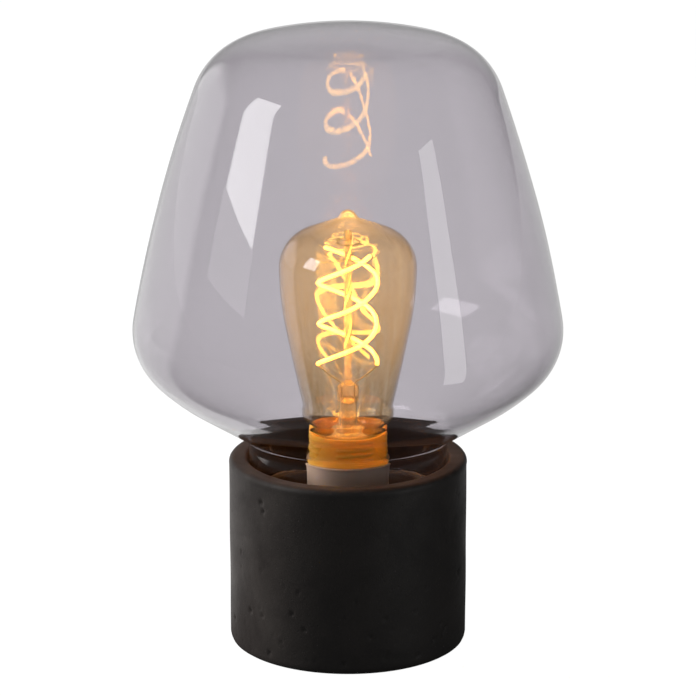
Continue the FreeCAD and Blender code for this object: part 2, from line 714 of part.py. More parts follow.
def build(doc):
    """Every piece of the lamp."""
    upper_washer_low = "floor_top"
    lower_washer_low = "floor_bottom - washer_thick"
    return [
        concrete_base(doc), base_pad(doc), cable_bushing(doc), shade_seat_ring(doc), glass_shade(doc),
        nipple(doc), washer(doc, "floor_washer", lower_washer_low),
        nut(doc, "floor_nut", lower_washer_low + " - nut_height"),
        washer(doc, "upper_washer", upper_washer_low),
        nut(doc, "upper_nut", upper_washer_low + " + washer_thick"), spacer_tube(doc),
        holder_cap(doc), cap_lock_screw(doc), holder_sleeve(doc), contact_block(doc),
        centre_contact(doc), side_contact(doc), terminal_clamps(doc), terminal_screws(doc),
        screw_shell(doc), bulb_cap(doc), bulb_insulator(doc), bulb_contact(doc), bulb_glass(doc),
        bulb_stem(doc), filament(doc), lead_wires(doc), filament_support(doc), driver_board(doc)]


def check(doc, pieces):
    """Stop before anything is written if an object failed or a shape is not sound."""
    for item in doc.Objects:
        if "Invalid" in item.State or "Error" in item.State:
            raise RuntimeError("%s: %s" % (item.Label, item.State))
    for piece in pieces:
        if piece.Shape.isNull() or not piece.Shape.isValid() or piece.Shape.Volume <= 0:
            raise RuntimeError(piece.Label + " has no sound shape")


def main():
    """Build the document and write one STEP file per piece."""
    doc = FreeCAD.newDocument("table_lamp")
    make_sheet(doc)
    pieces = build(doc)
    doc.recompute()
    check(doc, pieces)
    os.makedirs(PARTS_FOLDER, exist_ok=True)
    for piece in pieces:
        piece.Shape.exportStep(os.path.join(PARTS_FOLDER, piece.Label + ".step"))
        box = piece.Shape.BoundBox
        print("%-18s solids %d  volume %9.1f  z %.2f to %.2f  x %.2f to %.2f" % (
            piece.Label, len(piece.Shape.Solids), piece.Shape.Volume,
            box.ZMin, box.ZMax, box.XMin, box.XMax))


main()
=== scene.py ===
import math

import bpy
import numpy as np
from bpy.props import (BoolProperty, FloatProperty, FloatVectorProperty, IntProperty,
                       PointerProperty)
from bpy.types import Operator, Panel, PropertyGroup
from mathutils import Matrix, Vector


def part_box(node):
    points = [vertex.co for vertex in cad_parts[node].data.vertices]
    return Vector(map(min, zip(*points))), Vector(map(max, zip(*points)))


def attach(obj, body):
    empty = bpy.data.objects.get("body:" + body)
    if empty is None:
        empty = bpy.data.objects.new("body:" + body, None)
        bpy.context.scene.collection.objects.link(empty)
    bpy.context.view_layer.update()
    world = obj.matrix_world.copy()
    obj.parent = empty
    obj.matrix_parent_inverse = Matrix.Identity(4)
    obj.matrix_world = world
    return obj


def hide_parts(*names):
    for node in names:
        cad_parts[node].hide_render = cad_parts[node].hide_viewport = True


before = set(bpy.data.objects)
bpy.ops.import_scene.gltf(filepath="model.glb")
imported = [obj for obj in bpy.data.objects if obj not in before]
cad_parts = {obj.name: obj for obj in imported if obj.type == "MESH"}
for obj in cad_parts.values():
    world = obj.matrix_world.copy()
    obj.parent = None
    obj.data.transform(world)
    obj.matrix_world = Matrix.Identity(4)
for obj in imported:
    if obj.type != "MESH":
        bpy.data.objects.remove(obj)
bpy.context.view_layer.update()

bl_info = {
    "name": "Glass Shade Table Lamp",
    "version": (1, 0, 0),
    "blender": (4, 5, 0),
    "location": "3D View > Sidebar > Table Lamp",
    "description": "Finished pieces for a table lamp with a closed glass shade in a concrete cup",
    "category": "Add Mesh",
}

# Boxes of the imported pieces, lowest and highest corner in metres
SHADE_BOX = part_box("glass_shade")
BULB_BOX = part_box("bulb_glass")
CUP_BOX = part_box("concrete_base")
SLEEVE_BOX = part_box("holder_sleeve")

TAU = 2 * math.pi
UP = np.array([0.0, 0.0, 1.0])
# Direction of the middle of the studio's white sweep, and the shares along it where it comes up
SWEEP = (-0.766, 0.643, 0.0)
SWEEP_EDGE = (0.85, 0.91)
# Brightness, in reflections, of the surroundings where nothing stands
DIM = 0.03
# Heights on the bulb where its streaks fade out, its painted glow sets in and the crown's brighter painted
# glow rises
STREAK_FADE = (0.185, 0.120)
LUSTRE_GLOW_RISE = (0.120, 0.150)
CROWN_GLOW_RISE = (0.1975, 0.2045)
# Height where the lampholder's thin threaded mouth begins, and the bulb's painted light on it with it
MOUTH_HEIGHT = 0.0905


# ---------------------------------------------------------------- sizes and colours

class ShadeSizes(PropertyGroup):
    wall: FloatProperty(name="Wall", description="Thickness of the shade's glass",
                        default=0.0015, unit="LENGTH")
    neck_radius: FloatProperty(name="Neck radius", description="Outer radius of the straight neck",
                               default=0.0467, unit="LENGTH")
    belly_radius: FloatProperty(name="Belly radius", description="Radius where the belly meets the side",
                                default=0.0997, unit="LENGTH")
    ripple: FloatProperty(name="Ripple", description="Height of the slow waves in the blown wall",
                          default=0.00012, unit="LENGTH")
    around: IntProperty(name="Facets around", description="Faces round the shade", default=256)
    tint: FloatVectorProperty(name="Smoke tint", description="Light that one wall lets through",
                              default=(0.708, 0.685, 0.713), subtype="COLOR", size=3)


class BulbSizes(PropertyGroup):
    wall: FloatProperty(name="Wall", description="Thickness of the bulb's glass",
                        default=0.0009, unit="LENGTH")
    around: IntProperty(name="Facets around", description="Faces round the bulb", default=160)
    amber: FloatVectorProperty(name="Amber tint", description="Light that the lustred glass lets through",
                               default=(1.0, 0.93, 0.78), subtype="COLOR", size=3)
    spiral_radius: FloatProperty(name="Spiral radius", description="Radius of the filament's winding",
                                 default=0.0136, unit="LENGTH")
    spiral_pitch: FloatProperty(name="Spiral pitch", description="Rise of the winding in one turn",
                                default=0.039, unit="LENGTH")
    spiral_low: FloatProperty(name="Spiral start", description="Height of the winding's lower ends",
                              default=0.1346, unit="LENGTH")
    spiral_run: FloatProperty(name="Spiral rise", description="Height from the lower to the upper ends",
                              default=0.054, unit="LENGTH")
    strand_radius: FloatProperty(name="Strand radius", description="Radius of the lit strand",
                                 default=0.0009, unit="LENGTH")
    glow: FloatVectorProperty(name="Glow colour", description="Colour of the lit strand",
                              default=(1.0, 0.55, 0.06), subtype="COLOR", size=3)
    power: FloatProperty(name="Glow strength", description="Brightness of the lit strand", default=14.0)


class CupSizes(PropertyGroup):
    pores: IntProperty(name="Pores", description="Number of air holes in the cast surface", default=420)
    pore_depth: FloatProperty(name="Pore depth", description="Depth of the largest air hole",
                              default=0.0009, unit="LENGTH")
    around: IntProperty(name="Facets around", description="Faces round the cup", default=384)
    dark: FloatVectorProperty(name="Dark cement", description="Colour of the cast surface",
                              default=(0.0096, 0.0075, 0.0067), subtype="COLOR", size=3)
    light: FloatVectorProperty(name="Light cement", description="Colour of its paler clouds",
                               default=(0.0225, 0.0190, 0.0170), subtype="COLOR", size=3)


class HolderSizes(PropertyGroup):
    ridge_pitch: FloatProperty(name="Ridge pitch", description="Rise of the ring thread in one turn",
                               default=0.0029, unit="LENGTH")
    ridge_height: FloatProperty(name="Ridge height", description="Height of the ring thread",
                                default=0.0006, unit="LENGTH")
    around: IntProperty(name="Facets around", description="Faces round the sleeve", default=192)
    colour: FloatVectorProperty(name="Thermoplastic", description="Colour of the lampholder",
                                default=(0.35, 0.265, 0.19), subtype="COLOR", size=3)
    # Painted bulb light: the orange colour given to the thin threaded mouth
    painted_mouth_light: FloatVectorProperty(name="Warm mouth", description="Colour of the thin mouth that the bulb lights",
                              default=(0.40, 0.23, 0.03), subtype="COLOR", size=3)


class StageSizes(PropertyGroup):
    camera_back: FloatProperty(name="Camera distance", description="How far the camera stands in front",
                               default=1.5236, unit="LENGTH")
    camera_height: FloatProperty(name="Camera height", description="Height of the camera",
                                 default=0.5704, unit="LENGTH")
    camera_pitch: FloatProperty(name="Camera pitch", description="How far the camera looks down",
                                default=math.radians(15.7), subtype="ANGLE")
    lens: FloatProperty(name="Lens", description="Focal length in millimetres", default=175.5)
    show_floor: BoolProperty(name="Floor", description="Stand the lamp on a pale floor", default=True)


# ---------------------------------------------------------------- surfaces from arrays

def mesh_piece(name, points, faces):
    """Object at the origin from an array of points and an array of faces with equal corner counts.

    A face row may repeat its last corner, and then it is a triangle.
    """
    points = np.asarray(points, dtype=np.float32)
    corners = [part for part in faces if len(part)]
    counts = np.concatenate([np.full(len(part), part.shape[1]) for part in corners])
    loops = np.concatenate([part.ravel() for part in corners])
    mesh = bpy.data.meshes.new(name)
    mesh.vertices.add(len(points))
    mesh.vertices.foreach_set("co", points.ravel())
    mesh.loops.add(len(loops))
    mesh.loops.foreach_set("vertex_index", loops.astype(np.int32))
    mesh.polygons.add(len(counts))
    starts = np.concatenate([[0], np.cumsum(counts)[:-1]]).astype(np.int32)
    mesh.polygons.foreach_set("loop_start", starts)
    mesh.polygons.foreach_set("use_smooth", np.ones(len(counts), dtype=bool))
    mesh.update(calc_edges=True)
    mesh.validate()
    piece = bpy.data.objects.new(name, mesh)
    bpy.context.scene.collection.objects.link(piece)
    return piece


def strip_faces(rows, around, first=0, closed=False):
    """Quads between neighbouring rings of a grid: corner (i, j) is number first + i * around + j."""
    i = np.arange(rows if closed else rows - 1)[:, None]
    j = np.arange(around)[None, :]
    after = (i + 1) % rows
    beside = (j + 1) % around
    quads = np.stack([i * around + j, i * around + beside, after * around + beside, after * around + j], -1)
    return quads.reshape(-1, 4) + first


def ringed_surface(name, rings, closed=False, start=None, end=None):
    """Surface through a stack of closed rings, rings[i, j] = point j of ring i.

    It is closed from the last ring to the first, or by a fan to a start and an end point.
    """
    rows, around = rings.shape[:2]
    points = [rings.reshape(-1, 3)]
    quads = strip_faces(rows, around, closed=closed)
    fans = []
    j = np.arange(around)
    beside = (j + 1) % around
    tip = rows * around
    if start is not None:
        points.append(np.reshape(start, (1, 3)))
        fans.append(np.stack([np.full(around, tip), beside, j], -1))
        tip += 1
    if end is not None:
        points.append(np.reshape(end, (1, 3)))
        last = (rows - 1) * around
        fans.append(np.stack([last + j, last + beside, np.full(around, tip)], -1))
    return mesh_piece(name, np.concatenate(points), [quads] + fans)


def turned_rings(section, around, swell=None):
    """Rings of a section of (radius, height) rows turned about Z.

    Point (i, j) is (r cos a, r sin a, z) at the angle a = 2 pi j / around. swell(angle, height) is
    an array added to each radius.
    """
    angle = TAU * np.arange(around) / around
    radius = np.repeat(section[:, :1], around, axis=1)
    height = np.repeat(section[:, 1:], around, axis=1)
    if swell is not None:
        radius = radius + swell(np.broadcast_to(angle, radius.shape), height)
    return np.stack([radius * np.cos(angle), radius * np.sin(angle), height], -1)


def arc_points(start, heading, end, count):
    """Points after start on the arc that leaves start along heading and reaches end.

    The arc turns through twice the angle between heading and the chord. Point k is the start plus
    the chord of the first k steps: length c sin(k b / n) / sin(b), turned k b / n off the heading.
    """
    chord = end - start
    half = math.atan2(heading[0] * chord[1] - heading[1] * chord[0], float(heading @ chord))
    part = half * np.arange(1, count + 1) / count
    length = np.hypot(*chord) * np.sin(part) / math.sin(half)
    base = math.atan2(heading[1], heading[0])
    points = start + np.stack([length * np.cos(base + part), length * np.sin(base + part)], -1)
    turn = base + 2 * half
    return points, np.array([math.cos(turn), math.sin(turn)])


def outline(corners, step):
    """Dense (radius, height) points along corners of (how, radius, height).

    "line" is straight, "smooth" leaves the corner before it in the direction of arrival, and
    "crown" is such an arc that ends level on the axis, with its centre there.
    """
    here = np.array(corners[0][1:], dtype=float)
    heading = np.array([1.0, 0.0])
    points = [here[None]]
    for how, radius, height in corners[1:]:
        end = np.array([radius, height], dtype=float)
        if how == "crown":
            inward = np.array([-heading[1], heading[0]])
            curve = -here[0] / inward[0]
            end = np.array([0.0, here[1] + inward[1] * curve + curve])
        count = max(2, math.ceil(np.hypot(*(end - here)) / step))
        if how == "line":
            points.append(here + (end - here) * np.arange(1, count + 1)[:, None] / count)
            heading = (end - here) / np.hypot(*(end - here))
        else:
            run, heading = arc_points(here, heading, end, count)
            points.append(run)
        here = end
    return np.concatenate(points)


def walled(outer, wall):
    """Parts of a wall's section: outer skin, lining, lip, and the skins' two points on the axis.

    The lining is the skin moved by the wall along the local direction of the outline turned a
    quarter to the left, taken downwards. The lip is a half circle at the open foot.
    """
    along = np.gradient(outer, axis=0)
    along[-1] = (-1.0, 0.0)
    along /= np.hypot(along[:, 0], along[:, 1])[:, None]
    inner = outer + wall * np.stack([-along[:, 1], along[:, 0]], -1)
    turn = math.pi * np.arange(1, 8) / 8
    middle = (outer[0] + inner[0]) / 2
    lip = middle + wall / 2 * np.stack([-np.cos(turn), -np.sin(turn)], -1)
    return outer[:-1], inner[:-1][::-1], lip, outer[-1], inner[-1]


def shell_of_glass(name, outer, wall, around, swell=None):
    """Closed glass body: lining down from its pole, rounded lip, and outer skin up to its pole."""
    skin, lining, lip, top, ceiling = walled(outer, wall)
    # The lip's lowest point comes up to the foot
    lip = lip + np.array([0.0, wall / 2])
    below = np.concatenate([lining, lip, skin])
    rings = turned_rings(below, around, swell)
    return ringed_surface(name, rings, start=(0, 0, ceiling[1]), end=(0, 0, top[1]))


def swept_tube(name, line, radius, around=12):
    """Tube along a line of points: ring i is the line's point plus r (cos a N + sin a B).

    N is the side that stays level with the axis of the lamp where it can, and B completes it with
    the local direction. Both ends are closed by a fan.
    """
    line = np.asarray(line, dtype=float)
    along = np.gradient(line, axis=0)
    along /= np.linalg.norm(along, axis=1)[:, None]
    guide = np.where(np.abs(along @ UP)[:, None] > 0.95, np.array([[0.0, 1.0, 0.0]]), UP[None])
    side = np.cross(guide, along)
    side /= np.linalg.norm(side, axis=1)[:, None]
    other = np.cross(along, side)
    angle = TAU * np.arange(around) / around
    size = np.broadcast_to(np.asarray(radius, dtype=float), (len(line),))[:, None, None]
    rings = line[:, None] + size * (np.cos(angle)[None, :, None] * side[:, None]
                                    + np.sin(angle)[None, :, None] * other[:, None])
    return ringed_surface(name, rings, start=line[0], end=line[-1])


def joined(name, pieces):
    """One object from several, each kept as its own closed shell."""
    points = []
    faces = []
    first = 0
    for piece in pieces:
        mesh = piece.data
        co = np.empty(len(mesh.vertices) * 3, dtype=np.float32)
        mesh.vertices.foreach_get("co", co)
        points.append(co.reshape(-1, 3))
        totals = np.empty(len(mesh.polygons), dtype=np.int32)
        mesh.polygons.foreach_get("loop_total", totals)
        loops = np.empty(len(mesh.loops), dtype=np.int32)
        mesh.loops.foreach_get("vertex_index", loops)
        starts = np.empty(len(mesh.polygons), dtype=np.int32)
        mesh.polygons.foreach_get("loop_start", starts)
        for corners in (3, 4):
            chosen = starts[totals == corners]
            if len(chosen):
                faces.append(loops[chosen[:, None] + np.arange(corners)] + first)
        first += len(mesh.vertices)
        bpy.data.objects.remove(piece)
        bpy.data.meshes.remove(mesh)
    return mesh_piece(name, np.concatenate(points), faces)


def curve_points(corners, step):
    """Points along a smooth line through a few corners: a Catmull-Rom spline, as one array per span."""
    knots = np.array(corners, dtype=float)
    knots = np.concatenate([2 * knots[:1] - knots[1:2], knots, 2 * knots[-1:] - knots[-2:-1]])
    spans = []
    for p0, p1, p2, p3 in zip(knots, knots[1:], knots[2:], knots[3:]):
        count = max(3, math.ceil(np.linalg.norm(p2 - p1) / step))
        t = (np.arange(count) / count)[:, None]
        spans.append(0.5 * (2 * p1 + (p2 - p0) * t + (2 * p0 - 5 * p1 + 4 * p2 - p3) * t ** 2
                            + (3 * p1 - p0 - 3 * p2 + p3) * t ** 3))
    return np.concatenate(spans + [knots[-2:-1]])


# ---------------------------------------------------------------- finishes

class NodeSet:
    """Nodes of a material or a world, added one call at a time."""

    def __init__(self, tree):
        self.nodes = tree.nodes
        self.links = tree.links

    def node(self, kind, values=(), **settings):
        """New node with its settings and a list of (input, value or socket)."""
        node = self.nodes.new("ShaderNode" + kind)
        for name, value in settings.items():
            setattr(node, name, value)
        for name, value in values:
            if isinstance(value, bpy.types.NodeSocket):
                self.links.new(value, node.inputs[name])
            else:
                node.inputs[name].default_value = value
        return node

    def graded(self, value, low, high, to_low=0.0, to_high=1.0):
        """A value taken from one range to another and held at its ends."""
        return self.node("MapRange", [("Value", value), ("From Min", low), ("From Max", high),
                                      ("To Min", to_low), ("To Max", to_high)]).outputs["Result"]

    def math(self, how, first, second=0.0):
        """Arithmetic on two numbers or sockets."""
        return self.node("Math", [(0, first), (1, second)], operation=how).outputs[0]

    def parts(self, vector):
        """Outputs X, Y and Z of a vector."""
        return self.node("SeparateXYZ", [("Vector", vector)]).outputs

    def along_sweep(self, direction):
        """Share of a direction along the middle of the studio's white sweep."""
        share = self.node("VectorMath", [(0, direction), (1, SWEEP)], operation="DOT_PRODUCT")
        return share.outputs["Value"]

    def seen_plain(self):
        """1 for a ray from the eye, straight or through glass, that nothing has mirrored yet."""
        path = self.node("LightPath")
        unmirrored = self.math("LESS_THAN", path.outputs["Glossy Depth"], 0.5)
        through = self.math("MULTIPLY", path.outputs["Is Transmission Ray"], unmirrored)
        return self.math("MAXIMUM", path.outputs["Is Camera Ray"], through)


class Finish(NodeSet):
    """A node material that is built up one call at a time."""

    def __init__(self, name):
        self.material = bpy.data.materials.new(name)
        self.material.use_nodes = True
        super().__init__(self.material.node_tree)
        self.shader = self.nodes["Principled BSDF"]
        self.output = self.nodes["Material Output"]
        self.place = self.nodes.new("ShaderNodeTexCoord").outputs["Object"]

    def set(self, **values):
        """Constant values on the shader's own sockets, spaces written as underscores."""
        for name, value in values.items():
            socket = self.shader.inputs[name.replace("_", " ")]
            socket.default_value = (*value, 1.0) if socket.type == "RGBA" else value
        return self

    def noise(self, scale, detail=4.0, rough=0.55, place=None, distort=0.0):
        """Fractal noise, scale in features per metre."""
        return self.node("TexNoise", [("Vector", place or self.place), ("Scale", scale), ("Detail", detail),
                                      ("Roughness", rough), ("Distortion", distort)]).outputs["Fac"]

    def stretched(self, x, y, z):
        """Object coordinates with each axis scaled by itself."""
        return self.node("Mapping", [("Vector", self.place), ("Scale", (x, y, z))]).outputs["Vector"]

    def blended(self, share, first, second):
        """Colour between two colours or sockets."""
        mix = self.node("Mix", data_type="RGBA")
        self.links.new(share, next(item for item in mix.inputs if item.name == "Factor"))
        for letter, value in (("A", first), ("B", second)):
            socket = next(item for item in mix.inputs if item.type == "RGBA" and item.name == letter)
            if isinstance(value, bpy.types.NodeSocket):
                self.links.new(value, socket)
            else:
                socket.default_value = (*value, 1.0)
        return next(out for out in mix.outputs if out.type == "RGBA")

    def drive(self, name, socket):
        """Link a socket to the shader."""
        self.links.new(socket, self.shader.inputs[name.replace("_", " ")])
        return self

    def bump(self, *layers):
        """Stack of (height, strength, distance in metres) bumps on the shader's normal."""
        normal = None
        for height, strength, distance in layers:
            values = [("Height", height), ("Strength", strength), ("Distance", distance)]
            if normal is not None:
                values.append(("Normal", normal))
            normal = self.node("Bump", values).outputs["Normal"]
        self.links.new(normal, self.shader.inputs["Normal"])
        return self


def lit_through(finish, tint):
    """Let lamps shine through a glass: their shadow rays meet a clear tinted sheet instead."""
    path = finish.node("LightPath")
    clear = finish.node("BsdfTransparent", [("Color", (*tint, 1.0))])
    mix = finish.node("MixShader")
    finish.links.new(path.outputs["Is Shadow Ray"], mix.inputs[0])
    finish.links.new(finish.shader.outputs[0], mix.inputs[1])
    finish.links.new(clear.outputs[0], mix.inputs[2])
    finish.links.new(mix.outputs[0], finish.output.inputs["Surface"])
    return finish


def smoked_glass(tint):
    """Clear grey-lilac glass with faint slow ripples and dust-fine variation of its gloss."""
    finish = Finish("smoked_glass").set(Base_Color=tint, Transmission_Weight=1.0, IOR=1.5)
    cloud = finish.noise(14.0, detail=3.0)
    finish.drive("Roughness", finish.graded(cloud, 0.4, 0.7, 0.0, 0.012))
    finish.bump((finish.noise(22.0, detail=2.0, place=finish.stretched(1, 1, 0.45)), 0.03, 0.002))
    return lit_through(finish, [c ** 0.5 for c in tint])


def amber_glass(tint):
    """Gold-lustred bulb glass: drawn streaks run down its taper and its coat mirrors the filament.

    A faint painted glow, emission that rises with height, stands for the light that the lustre scatters, and
    a brighter painted glow lights the crown.
    """
    finish = Finish("amber_glass").set(Transmission_Weight=1.0, IOR=1.5, Coat_Weight=1.0,
                                       Coat_Roughness=0.02, Coat_IOR=1.9, Emission_Color=(1.0, 0.54, 0.17))
    streaks = finish.noise(330.0, detail=3.0, place=finish.stretched(1, 1, 0.035))
    height = finish.parts(finish.place)["Z"]
    # Painted glow: emission on the glass that rises with height and wavers with the streaks
    painted_lustre_glow = finish.math("MULTIPLY", finish.graded(height, *LUSTRE_GLOW_RISE, 0.2, 1.0),
                       finish.graded(streaks, 0.3, 0.7, 0.7, 1.3))
    # Painted glow in the crown, stronger towards the top of the bulb
    crown = finish.graded(height, *CROWN_GLOW_RISE, 0.0, 0.28)
    finish.drive("Emission_Strength", finish.math("ADD", finish.math("MULTIPLY", painted_lustre_glow, 0.105), crown))
    share = finish.math("MULTIPLY", finish.graded(streaks, 0.42, 0.68), finish.graded(height, *STREAK_FADE))
    streaked = [c * k for c, k in zip(tint, (0.84, 0.72, 0.52))]
    finish.drive("Base_Color", finish.blended(share, tint, streaked))
    finish.drive("Roughness", finish.graded(streaks, 0.3, 0.8, 0.0, 0.05))
    finish.bump((streaks, 0.05, 0.0008), (finish.noise(40.0, detail=1.0), 0.05, 0.002))
    return lit_through(finish, [c ** 0.5 for c in tint])


def stem_glass():
    """Clear fire-polished glass of the stem, slightly seedy."""
    finish = Finish("stem_glass").set(Base_Color=(0.97, 0.86, 0.66), Transmission_Weight=0.85, IOR=1.52)
    seeds = finish.noise(700.0, detail=1.0)
    finish.drive("Roughness", finish.graded(seeds, 0.55, 0.75, 0.02, 0.25))
    finish.bump((finish.noise(260.0, detail=2.0, place=finish.stretched(1, 1, 0.3)), 0.35, 0.0006))
    return lit_through(finish, (0.97, 0.92, 0.82))


def lit_strand(glow, power):
    """Phosphor strand that shines, a little brighter at each hidden diode along it."""
    finish = Finish("lit_strand").set(Base_Color=(1.0, 0.72, 0.32), Roughness=0.5, Emission_Color=glow)
    beads = finish.node("TexWave", [("Vector", finish.place), ("Scale", 260.0), ("Distortion", 0.4)],
                        bands_direction="Z").outputs["Fac"]
    finish.drive("Emission_Strength", finish.graded(beads, 0.0, 1.0, power * 0.85, power * 1.15))
    return finish


def cast_cement(dark, light):
    """Charcoal cement: soft clouds, pale salts, sand grain and pinholes."""
    finish = Finish("cast_cement").set(Specular_IOR_Level=0.5)
    clouds = finish.noise(26.0, detail=7.0, rough=0.62, distort=0.6)
    grain = finish.noise(1500.0, detail=3.0, rough=0.7)
    speck = finish.node("TexVoronoi", [("Vector", finish.place), ("Scale", 420.0)]).outputs["Distance"]
    pins = finish.node("TexVoronoi", [("Vector", finish.place), ("Scale", 300.0),
                                      ("Randomness", 1.0)]).outputs["Distance"]
    body = finish.blended(finish.graded(clouds, 0.35, 0.72), dark, light)
    salt = finish.math("MULTIPLY", finish.graded(speck, 0.10, 0.03), finish.graded(grain, 0.45, 0.6))
    salted = finish.graded(salt, 0.2, 1.0, 0.0, 0.5)
    finish.drive("Base_Color", finish.blended(salted, body, (0.16, 0.15, 0.14)))
    finish.drive("Roughness", finish.graded(clouds, 0.3, 0.7, 0.68, 0.52))
    finish.bump((finish.graded(pins, 0.0, 0.16), 0.25, 0.0004), (grain, 0.35, 0.00022),
                (finish.noise(180.0, detail=5.0), 0.30, 0.0005))
    return finish


def moulded_plastic(colour, painted_mouth_light):
    """Satin thermoplastic with fine mould texture; the bulb's light on its thin threaded mouth is painted
    on, as orange colour and a faint glow.
    """
    finish = Finish("moulded_plastic").set(Specular_IOR_Level=0.45, Subsurface_Weight=0.85,
                                           Subsurface_Radius=(1.0, 0.7, 0.4), Subsurface_Scale=0.003,
                                           Emission_Color=(1.0, 0.42, 0.012))
    tone = finish.noise(60.0, detail=4.0)
    height = finish.parts(finish.place)["Z"]
    # Mask of the thin mouth above MOUTH_HEIGHT, where the bulb's light is painted
    thin = finish.graded(height, MOUTH_HEIGHT - 0.0006, MOUTH_HEIGHT + 0.0004)
    plain = finish.blended(finish.graded(tone, 0.3, 0.7), colour, [c * 0.9 for c in colour])
    finish.drive("Base_Color", finish.blended(thin, plain, painted_mouth_light))
    # Painted glow: emission on the mouth that stands for the bulb's light coming through the thin plastic
    glow = finish.math("MULTIPLY", thin, finish.graded(tone, 0.25, 0.75, 0.12, 0.24))
    finish.drive("Emission_Strength", glow)
    finish.drive("Roughness", finish.graded(finish.noise(900.0), 0.3, 0.7, 0.34, 0.46))
    finish.bump((finish.noise(2200.0, detail=2.0), 0.08, 0.0001))
    return finish


def metal(name, colour, rough, dull, scale=500.0, lined=(1, 1, 1)):
    """Metal with fine worn variation: roughness runs between two values, dull spots are darker."""
    finish = Finish(name).set(Metallic=1.0)
    wear = finish.noise(scale, detail=5.0, rough=0.6, place=finish.stretched(*lined))
    finish.drive("Base_Color", finish.blended(finish.graded(wear, 0.35, 0.75), colour, dull))
    finish.drive("Roughness", finish.graded(wear, 0.3, 0.7, rough, rough + 0.18))
    finish.bump((wear, 0.12, 0.0001))
    return finish


def coated(name, colour, other, rough, scale, bump=0.15):
    """Non-metal with two close tones, for rubber, ceramic, board and black glass."""
    finish = Finish(name)
    tone = finish.noise(scale, detail=5.0)
    finish.drive("Base_Color", finish.blended(finish.graded(tone, 0.35, 0.7), colour, other))
    finish.drive("Roughness", finish.graded(tone, 0.3, 0.7, rough, min(1.0, rough + 0.15)))
    finish.bump((finish.noise(scale * 6, detail=3.0), bump, 0.00012))
    return finish


def pressed_felt():
    """Felt: matted short fibres in two dark tones with a soft sheen."""
    finish = Finish("pressed_felt").set(Roughness=0.95, Sheen_Weight=0.6, Sheen_Roughness=0.5)
    fibres = finish.noise(1900.0, detail=6.0, rough=0.8, distort=2.5)
    finish.drive("Base_Color", finish.blended(finish.graded(fibres, 0.35, 0.7),
                                              (0.018, 0.018, 0.019), (0.065, 0.063, 0.062)))
    finish.bump((fibres, 0.8, 0.0004))
    return finish


def clear_silicone():
    """Milky translucent silicone."""
    finish = Finish("clear_silicone").set(Subsurface_Weight=0.5, Subsurface_Radius=(1.0, 1.0, 1.0),
                                          Subsurface_Scale=0.002)
    tone = finish.noise(300.0)
    finish.drive("Base_Color", finish.blended(tone, (0.035, 0.033, 0.032), (0.06, 0.057, 0.055)))
    finish.drive("Roughness", finish.graded(tone, 0.3, 0.7, 0.4, 0.6))
    finish.bump((finish.noise(1500.0), 0.1, 0.0001))
    return finish


def dress(piece, finish):
    """Give a piece one finish all over."""
    piece.data.materials.clear()
    piece.data.materials.append(finish.material)


def finish_node(name, finish):
    """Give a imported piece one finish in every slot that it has."""
    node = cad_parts[name]
    for slot in node.material_slots:
        slot.material = finish.material
    if not node.material_slots:
        node.data.materials.append(finish.material)


def place_piece(piece, body, slot, *nodes):
    """Ride a piece on its body and hide what it stands for; slot, the name of its finish, is not used."""
    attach(piece, body)
    if nodes:
        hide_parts(*nodes)


# ---------------------------------------------------------------- operators

class LAMP_OT_shade(Operator):
    """Blow the closed glass shade: neck, cone, belly, leaning side, shoulder and dome"""
    bl_idname = "lamp.shade"
    bl_label = "Glass shade"

    def execute(self, context):
        sizes = context.scene.lamp_shade
        low, high = SHADE_BOX
        belly = sizes.belly_radius
        corners = [
            ("line", sizes.neck_radius, low[2]),
            ("line", sizes.neck_radius, 0.0953),
            ("smooth", 0.0504, 0.1021),
            ("line", 0.0754, 0.11795),
            ("smooth", 0.0911, 0.13035),
            ("smooth", belly, 0.1572),
            ("smooth", 0.0707, 0.2653),
            ("smooth", 0.0457, 0.288),
            ("crown", 0.0, high[2])]
        section = outline(corners, step=0.0016)

        def ripple(angle, height):
            """Slow waves: a sum of three sines of angle and height, fading out at neck and crown."""
            span = (height - low[2]) / (high[2] - low[2])
            fade = np.sin(np.clip(span, 0, 1) * math.pi) ** 0.5 * (np.abs(span) < 0.97)
            waves = (np.sin(2 * angle + 40 * height) + 0.6 * np.sin(3 * angle - 65 * height + 1.0)
                     + 0.4 * np.sin(5 * angle + 90 * height + 2.0))
            return sizes.ripple * fade * waves

        shade = shell_of_glass("blown_shade", section, sizes.wall, sizes.around, ripple)
        dress(shade, smoked_glass(sizes.tint))
        place_piece(shade, "shade", "smoked_glass", "glass_shade")
        return {"FINISHED"}


def bulb_section(low, high):
    """Outline of the bulb: neck, throat, long taper, widest ring, flat cone and round nipple."""
    corners = [
        ("line", 0.0135, low[2]),
        ("line", 0.0135, 0.0950),
        ("smooth", 0.0169, 0.1010),
        ("smooth", 0.0211, 0.1132),
        ("line", 0.0289, 0.1516),
        ("smooth", high[0], 0.1810),
        ("smooth", 0.01994, 0.19855),
        ("line", 0.0064, 0.20375),
        ("smooth", 0.0038, 0.2061),
        ("crown", 0.0, high[2])]
    return outline(corners, step=0.0011)


